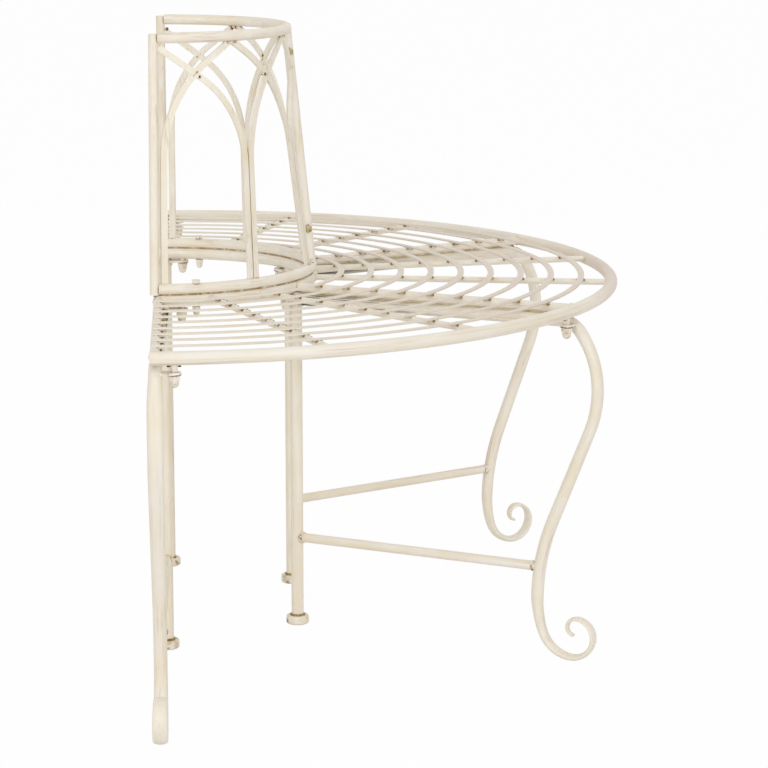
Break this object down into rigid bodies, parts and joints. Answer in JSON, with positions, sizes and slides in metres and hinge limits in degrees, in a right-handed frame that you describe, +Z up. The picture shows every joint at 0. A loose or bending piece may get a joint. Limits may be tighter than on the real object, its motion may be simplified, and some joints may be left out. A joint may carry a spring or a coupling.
{
  "type": "tree bench",
  "caption": "Half-round iron bench that stands round a tree trunk, with a slatted seat, scrolled legs and a low leaning backrest of crossing pointed arches.",
  "frame": {"origin": "on the floor, at the middle of the flat side, where the trunk's axis stands", "axes": "+Z up; the front of the seat looks along -Y and its flat side lies along X at y = 0"},
  "size_m": [1.2748, 0.6124, 0.78],
  "materials": {
    "cream_enamel": "antique cream brushed enamel on steel, rubbed brown in the corners",
    "aged_zinc": "dull golden passivated zinc"
  },
  "bodies": {
    "root": {"seat_outer_rim": "cream_enamel", "seat_inner_ring": "cream_enamel", "seat_end_bar_left": "cream_enamel", "seat_end_bar_right": "cream_enamel", "seat_spoke_left_front": "cream_enamel", "seat_spoke_right_front": "cream_enamel", "seat_thin_spokes_left": "cream_enamel", "seat_thin_spokes_front": "cream_enamel", "seat_thin_spokes_right": "cream_enamel", "seat_slat_1": "cream_enamel", "seat_slat_2": "cream_enamel", "seat_slat_3": "cream_enamel", "seat_slat_4": "cream_enamel", "seat_slat_5": "cream_enamel", "seat_slat_6": "cream_enamel", "seat_slat_7": "cream_enamel", "seat_slat_8": "cream_enamel", "seat_slat_9": "cream_enamel", "leg_left_end": "cream_enamel", "inner_post_left_end": "cream_enamel", "stretcher_left_end": "cream_enamel", "leg_left_front": "cream_enamel", "inner_post_left_front": "cream_enamel", "stretcher_left_front": "cream_enamel", "leg_right_front": "cream_enamel", "inner_post_right_front": "cream_enamel", "stretcher_right_front": "cream_enamel", "leg_right_end": "cream_enamel", "inner_post_right_end": "cream_enamel", "stretcher_right_end": "cream_enamel", "foot_pads": "cream_enamel", "lug_plates": "cream_enamel", "seat_studs": "cream_enamel", "seat_cap_nuts": "cream_enamel", "back_top_ring_left": "cream_enamel", "back_base_ring_left": "cream_enamel", "back_outer_post_left": "cream_enamel", "back_middle_post_left": "cream_enamel", "back_short_bar_left": "cream_enamel", "back_arch_bar_left_1": "cream_enamel", "back_arch_bar_left_2": "cream_enamel", "back_arch_bar_left_3": "cream_enamel", "back_arch_bar_left_4": "cream_enamel", "back_arch_bar_left_5": "cream_enamel", "back_top_ring_right": "cream_enamel", "back_base_ring_right": "cream_enamel", "back_outer_post_right": "cream_enamel", "back_middle_post_right": "cream_enamel", "back_short_bar_right": "cream_enamel", "back_arch_bar_right_1": "cream_enamel", "back_arch_bar_right_2": "cream_enamel", "back_arch_bar_right_3": "cream_enamel", "back_arch_bar_right_4": "cream_enamel", "back_arch_bar_right_5": "cream_enamel", "back_to_seat_bolts": "cream_enamel", "back_to_seat_cap_nuts": "cream_enamel", "panel_joint_bolts": "aged_zinc", "panel_joint_nuts": "aged_zinc"}
  },
  "joints": []
}
